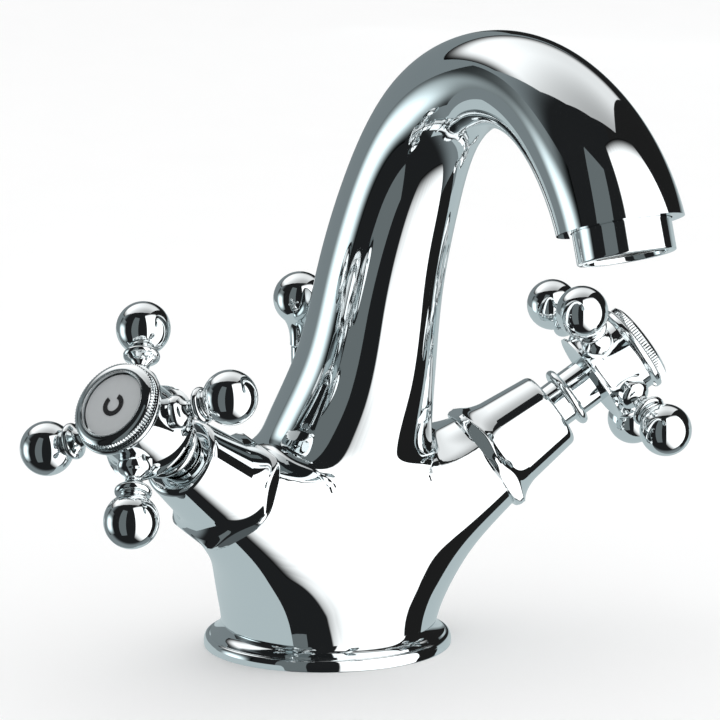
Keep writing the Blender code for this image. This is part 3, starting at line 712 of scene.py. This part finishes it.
def spoke_outline():
    """Bell, waist, ring and ball, measured from the hub's axis."""
    bell = [(0, 9.6), (4.1, 9.6), (4.3, 11.4)]
    bell += bezier(bell[-1], (4.45, 12.9), (3.3, 13.6), 10)
    waist = bezier(bell[-1], (2.1, 14.3), (2.05, 15.4), 12)
    waist += bezier((2.05, 15.4), (2.1, 16.8), (3.6, 17.7), 10)
    ring = arc((3.55, 18.85), 1.0, -70, 80, 14)
    begin = -math.degrees(math.acos(3.0 / BALL_RADIUS))
    ball = arc((0, BALL_REACH), BALL_RADIUS, begin, 90, 44)
    ball[-1] = (0, BALL_REACH + BALL_RADIUS)
    neck = bezier(ring[-1], (2.9, 19.9), ball[0], 8)
    return bell + waist + ring + neck + ball[1:]


def make_spokes(side, place, body):
    for k in range(4):
        spot = place @ Matrix.Rotation(math.tau * k / 4, 4, "Z")
        spot = spot @ Matrix.Translation((0, 0, HUB_STATION))
        spot = spot @ Matrix.Rotation(math.radians(90), 4, "Y")
        spoke = turned(f"{side}_ball_spoke_{k + 1}", spoke_outline(), 72, spot)
        dress(spoke, "chrome", body, f"{side}_spoke_{k + 1}")


def knurl_limit(radius, angle, height):
    """Straight knurling: rounded teeth where the outline reaches the button's full radius."""
    depth = TOOTH_DEPTH * max(0.0, min(1.0, (radius - (BUTTON_RADIUS - 0.25)) / 0.2))
    return radius - depth * (0.5 - 0.5 * math.cos(angle * BUTTON_TEETH)) ** 0.7


def make_button(side, place, body):
    rim = INDEX_RADIUS + 0.25
    shoulder = (BUTTON_RADIUS - 0.4, 101.05)
    outline = rounded([
        (0, 97.6), (8.6, 97.6), (8.6, 99.2), (BUTTON_RADIUS - 0.2, 99.2, 0.1), (BUTTON_RADIUS, 99.5),
        (BUTTON_RADIUS, 100.9, 0.1), (BUTTON_RADIUS - 0.3, 101.0),
    ])
    outline += [shoulder] + bezier(shoulder, (10.3, 101.72), (8.95, 101.78), 14)
    outline += rounded([
        (8.95, 101.78), (8.9, 101.6, 0.1), (8.75, 101.6, 0.1), (8.7, BUTTON_TOP, 0.1),
        (rim, BUTTON_TOP, 0.15), (rim, 100.0), (0, 100.0),
    ])[1:]
    button = turned(f"{side}_knurled_cap", outline, BUTTON_TEETH * 6, place, knurl_limit, 50)
    dress(button, "chrome", body, f"{side}_index_button")
    under = INDEX_FACE - 0.5
    disc = rounded([
        (0, under), (INDEX_RADIUS, under), (INDEX_RADIUS, INDEX_FACE, 0.2), (0, INDEX_FACE),
    ])
    dress(turned(f"{side}_enamel_disc", disc, 96, place), "grey_enamel", body, f"{side}_index_disc")
    letter = prism_piece(f"{side}_enamel_letter", LETTERS[side](), 0, 0.2,
                         place @ Matrix.Translation((0, 0, INDEX_FACE)), 0.05)
    dress(letter, "black_enamel", body, f"{side}_index_mark")


def letter_c():
    inside, outside, half_gap = 1.7, 2.95, 33
    ends = (90 + half_gap, 450 - half_gap)
    return arc((0, 0), outside, *ends, 40) + arc((0, 0), inside, *reversed(ends), 40)


def letter_f():
    stem, height, arm, bar = 0.9, 5.4, 3.4, 0.9
    x, y = -arm / 2, -height / 2
    middle = y + height * 0.46
    return [
        (x, y), (x + stem, y), (x + stem, middle), (x + arm * 0.85, middle),
        (x + arm * 0.85, middle + bar), (x + stem, middle + bar), (x + stem, y + height - bar),
        (x + arm, y + height - bar), (x + arm, y + height), (x, y + height),
    ]


LETTERS = {"left": letter_c, "right": letter_f}


def make_handle(side):
    place = handle_matrix(side)
    body = f"{side}_handle"
    make_hub(side, place, body)
    make_spokes(side, place, body)
    make_button(side, place, body)


# --- studio ---------------------------------------------------------------------------------------


AZIMUTH = math.radians(VIEW_AZIMUTH)
STUDIO_RIGHT = Vector((math.cos(AZIMUTH), math.sin(AZIMUTH), 0))
STUDIO_FRONT = Vector((math.sin(AZIMUTH), -math.cos(AZIMUTH), 0))


def make_camera():
    tilt = math.radians(VIEW_ELEVATION)
    back = STUDIO_FRONT * math.cos(tilt) + Vector((0, 0, 1)) * math.sin(tilt)
    up = Vector((0, 0, 1)) * math.cos(tilt) - STUDIO_FRONT * math.sin(tilt)
    matrix = Matrix((STUDIO_RIGHT, up, back)).transposed().to_4x4()
    matrix = matrix @ Matrix.Rotation(math.radians(VIEW_ROLL), 4, "Z")
    matrix.translation = matrix.to_3x3() @ Vector((VIEW_RIGHT, VIEW_UP, VIEW_DISTANCE)) * MM
    camera = bpy.data.objects.new("camera", bpy.data.cameras.new("camera"))
    camera.data.lens = LENS_MM
    camera.data.sensor_width = 36
    camera.data.clip_start = 0.01
    camera.matrix_world = matrix
    bpy.context.scene.collection.objects.link(camera)
    bpy.context.scene.camera = camera


def glow(name, colour, strength, fade=None):
    """Emission that may fade along the card's own X and Y, each running from 0 to 1 across it.

    A row of fade is (axis, start, end, level at start, level at end); rows are multiplied together."""
    made = bpy.data.materials.new(name)
    made.use_nodes = True
    nodes = made.node_tree.nodes
    links = made.node_tree.links
    nodes.clear()
    output = nodes.new("ShaderNodeOutputMaterial")
    light = nodes.new("ShaderNodeEmission")
    light.inputs["Color"].default_value = (*colour, 1)
    light.inputs["Strength"].default_value = strength
    links.new(light.outputs["Emission"], output.inputs["Surface"])
    if fade:
        place = nodes.new("ShaderNodeTexCoord")
        split = nodes.new("ShaderNodeSeparateXYZ")
        links.new(place.outputs["UV"], split.inputs["Vector"])
        total = None
        for axis, start, end, low, high in fade:
            ramp = nodes.new("ShaderNodeMapRange")
            ramp.interpolation_type = "SMOOTHSTEP"
            ramp.inputs["From Min"].default_value = start
            ramp.inputs["From Max"].default_value = end
            ramp.inputs["To Min"].default_value = low
            ramp.inputs["To Max"].default_value = high
            links.new(split.outputs[axis], ramp.inputs["Value"])
            if total is None:
                total = ramp.outputs["Result"]
                continue
            product = nodes.new("ShaderNodeMath")
            product.operation = "MULTIPLY"
            links.new(total, product.inputs[0])
            links.new(ramp.outputs["Result"], product.inputs[1])
            total = product.outputs["Value"]
        scale = nodes.new("ShaderNodeMath")
        scale.operation = "MULTIPLY"
        scale.inputs[1].default_value = strength
        links.new(total, scale.inputs[0])
        links.new(scale.outputs["Value"], light.inputs["Strength"])
    return made


def card(name, places, faces, coordinates, material):
    """A card seen only in reflections; places are (right, front, height) of the studio."""
    mesh = bpy.data.meshes.new(name)
    points = [(STUDIO_RIGHT * r + STUDIO_FRONT * f + Vector((0, 0, h))) * MM for r, f, h in places]
    mesh.from_pydata([tuple(p) for p in points], [], faces)
    layer = mesh.uv_layers.new(name="UVMap")
    for loop in mesh.loops:
        layer.data[loop.index].uv = coordinates[loop.vertex_index]
    mesh.materials.append(material)
    made = bpy.data.objects.new(name, mesh)
    bpy.context.scene.collection.objects.link(made)
    made.visible_camera = False
    made.visible_diffuse = False
    made.visible_shadow = False
    made.visible_transmission = False


def wall(name, first, second, low, high, material, steps=1):
    """An upright card between two plan points (right, front); X runs along it and Y up it.

    low and high are heights, or pairs of heights at the card's two ends."""
    lows = low if isinstance(low, tuple) else (low, low)
    highs = high if isinstance(high, tuple) else (high, high)
    places = []
    coordinates = []
    for i in range(steps + 1):
        t = i / steps
        spot = [a + (b - a) * t for a, b in zip(first, second)]
        for up, (start, end) in enumerate((lows, highs)):
            places.append((*spot, start + (end - start) * t))
            coordinates.append((t, up))
    faces = [(2 * i, 2 * i + 2, 2 * i + 3, 2 * i + 1) for i in range(steps)]
    card(name, places, faces, coordinates, material)


def ceiling(name, outline, height, material):
    """A level card with a plan outline; X runs to the right across it and Y to the front."""
    low = [min(spot[k] for spot in outline) for k in (0, 1)]
    size = [max(spot[k] for spot in outline) - low[k] for k in (0, 1)]
    coordinates = [[(spot[k] - low[k]) / size[k] for k in (0, 1)] for spot in outline]
    card(name, [(*spot, height) for spot in outline], [range(len(outline))], coordinates, material)


def around(azimuth, distance):
    """Plan point at an azimuth from the camera's direction, positive to the camera's right."""
    angle = math.radians(azimuth)
    return (distance * math.sin(angle), distance * math.cos(angle))


WHITE = (1.0, 1.0, 1.0)
TEAL = (0.84, 0.97, 1.0)
BLACK = (0.015, 0.016, 0.017)


def make_cards():
    """Key wall at the right, strip at the left, softbox above and behind, light table and flags.

    Flags are dark cards that hide brighter ones behind them."""
    key = glow("key_glow", WHITE, 1.7, [
        ("X", 0, 0.02, 0, 1), ("X", 1, 0.98, 0, 1), ("Y", 0, 0.45, 0, 1), ("Y", 1, 0.83, 0, 1),
    ])
    wall("key_wall", (76, 421), (1000, -40), (-640, -2900), (930, 1490), key, 16)
    wall("grey_wall", around(-48, 2600), around(-19, 2600), -2600, 3300, glow("grey_glow", TEAL, 0.18))
    strip = glow("strip_glow", TEAL, 1.8, [
        ("X", 0, 0.45, 0.14, 1), ("X", 1, 0.55, 0, 1), ("Y", 0, 0.4, 0.14, 1), ("Y", 0.85, 0.6, 0.14, 1),
    ])
    wall("left_strip", around(-116, 1300), around(-73, 1300), -800, 620, strip)
    softbox = glow("softbox_glow", WHITE, 1.35, [
        ("X", 0, 0.32, 0.01, 1), ("X", 0.75, 0.4, 0.7, 1), ("Y", 0, 0.35, 0.01, 1), ("Y", 1, 0.6, 0.5, 1),
    ])
    outline = [
        (-1700, -690), (-742, 0), (-300, 172), (50, 210), (400, 150), (560, -300), (1000, -1500),
        (-1700, -1500),
    ]
    ceiling("softbox", outline, 1000, softbox)
    flag = glow("flag_glow", WHITE, BLACK[0])
    wall("right_flag", around(121, 1500), around(92, 1500), -1500, 1000, flag)
    ceiling("upper_flag", [(300, 500), (3000, 500), (3000, -2000), (300, -2000)], 1400, flag)
    wall("back_flag", around(180, 1900), around(116, 1900), 270, 1000, flag)
    back = glow("back_glow", TEAL, 0.62, [("Y", 1, 0.85, 0.3, 1)])
    wall("back_right_wall", around(180, 1850), around(119, 1850), -1100, 270, back)
    table = glow("table_glow", TEAL, 0.6, [("Y", 0, 0.6, 0.75, 1)])
    outline = [
        (-6, 26), (-36, 56), (-64, 22), (-76, -14), (-330, -200), (-330, -700), (700, -700), (700, -330),
        (67, -10), (20, 14),
    ]
    ceiling("light_table", outline, -1, table)


def make_world():
    """Soft white light on matt surfaces; a dim grey room behind the object in reflections."""
    world = bpy.data.worlds.new("studio")
    bpy.context.scene.world = world
    world.use_nodes = True
    nodes = world.node_tree.nodes
    links = world.node_tree.links
    nodes.clear()
    output = nodes.new("ShaderNodeOutputWorld")
    soft = nodes.new("ShaderNodeBackground")
    soft.inputs["Color"].default_value = (1, 1, 1, 1)
    soft.inputs["Strength"].default_value = 1.1
    room = nodes.new("ShaderNodeBackground")
    place = nodes.new("ShaderNodeTexCoord")
    toward = nodes.new("ShaderNodeVectorMath")
    toward.operation = "DOT_PRODUCT"
    toward.inputs[1].default_value = STUDIO_FRONT
    links.new(place.outputs["Generated"], toward.inputs[0])
    ramp = nodes.new("ShaderNodeMapRange")
    ramp.interpolation_type = "SMOOTHSTEP"
    ramp.inputs["From Min"].default_value = 0.05
    ramp.inputs["From Max"].default_value = -0.35
    ramp.inputs["To Min"].default_value = 0
    ramp.inputs["To Max"].default_value = 1
    links.new(toward.outputs["Value"], ramp.inputs["Value"])
    shade = nodes.new("ShaderNodeMix")
    shade.data_type = "RGBA"
    shade.inputs["A"].default_value = (*BLACK, 1)
    shade.inputs["B"].default_value = (0.215, 0.25, 0.262, 1)
    links.new(ramp.outputs["Result"], shade.inputs["Factor"])
    links.new(shade.outputs["Result"], room.inputs["Color"])
    path = nodes.new("ShaderNodeLightPath")
    mix = nodes.new("ShaderNodeMixShader")
    links.new(path.outputs["Is Glossy Ray"], mix.inputs["Fac"])
    links.new(soft.outputs["Background"], mix.inputs[1])
    links.new(room.outputs["Background"], mix.inputs[2])
    links.new(mix.outputs["Shader"], output.inputs["Surface"])


def make_floor():
    size = 8.0  # metres
    mesh = bpy.data.meshes.new("floor")
    corners = [(-size, -size, 0), (size, -size, 0), (size, size, 0), (-size, size, 0)]
    mesh.from_pydata(corners, [], [(0, 1, 2, 3)])
    mesh.materials.append(surface("pale_floor", (0.93, 0.93, 0.93), 0, 0.8, 40.0, 0.1, 0))
    floor = bpy.data.objects.new("floor", mesh)
    bpy.context.scene.collection.objects.link(floor)
    floor.visible_glossy = False


def make_studio():
    make_camera()
    make_world()
    make_floor()
    make_cards()
    bpy.context.scene.view_settings.view_transform = "Standard"


def main():
    make_studio()
    make_body()
    make_outlet()
    make_waste_rod()
    for side in SIDES:
        make_bonnet(side)
        make_handle(side)
    dress_cad_nodes()


main()
